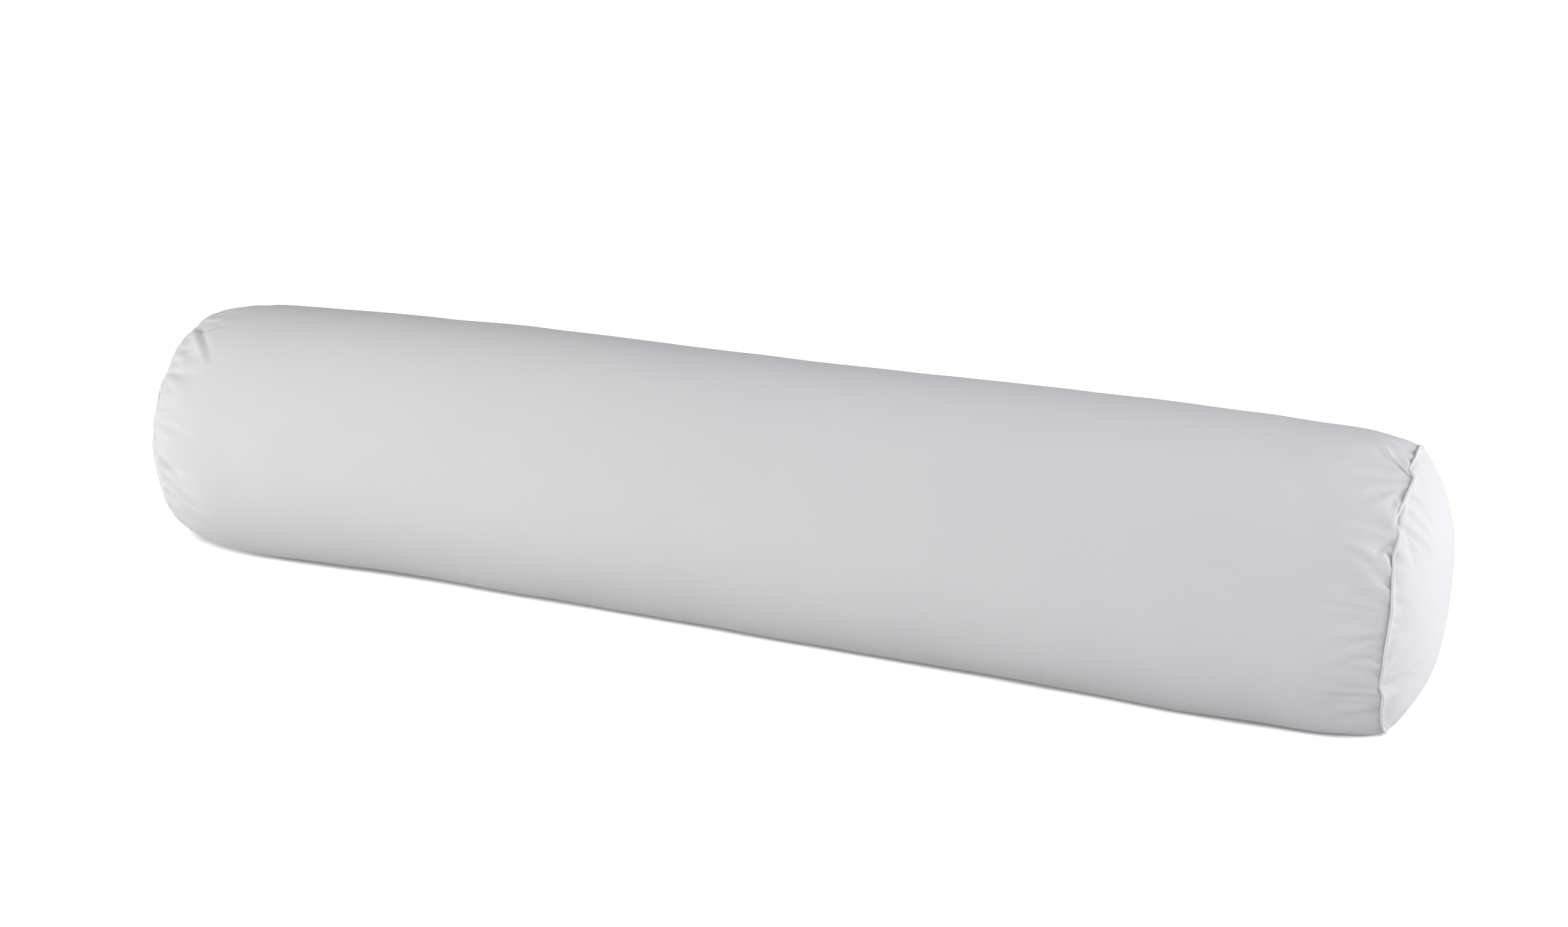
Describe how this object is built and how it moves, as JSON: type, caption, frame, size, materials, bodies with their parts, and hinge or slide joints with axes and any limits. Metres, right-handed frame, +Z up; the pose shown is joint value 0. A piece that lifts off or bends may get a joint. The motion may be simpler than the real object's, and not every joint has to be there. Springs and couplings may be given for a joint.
{
  "type": "bolster pillow",
  "caption": "Long round bolster pillow in a white percale cotton cover with corded piping at both domed ends.",
  "frame": {"origin": "middle of the pillow's bounding box, on the floor it rests on", "axes": "+X along the pillow towards the near end, +Y to the back where the lengthwise seam is, +Z up"},
  "size_m": [1.219, 0.2766, 0.2473],
  "materials": {
    "percale": "matte",
    "piping": "matte",
    "cord": "matte",
    "thread": "satin",
    "label": "satin",
    "filling": "matte"
  },
  "bodies": {
    "root": {"tube_panel": "percale", "near_end_panel": "percale", "far_end_panel": "percale", "near_piping_sleeve": "piping", "far_piping_sleeve": "piping", "near_piping_cord": "cord", "far_piping_cord": "cord", "near_end_seam_thread": "thread", "far_end_seam_thread": "thread", "lengthwise_seam_thread": "thread", "closing_stitch_thread": "thread", "care_label": "label", "fibre_filling": "filling"}
  },
  "joints": []
}
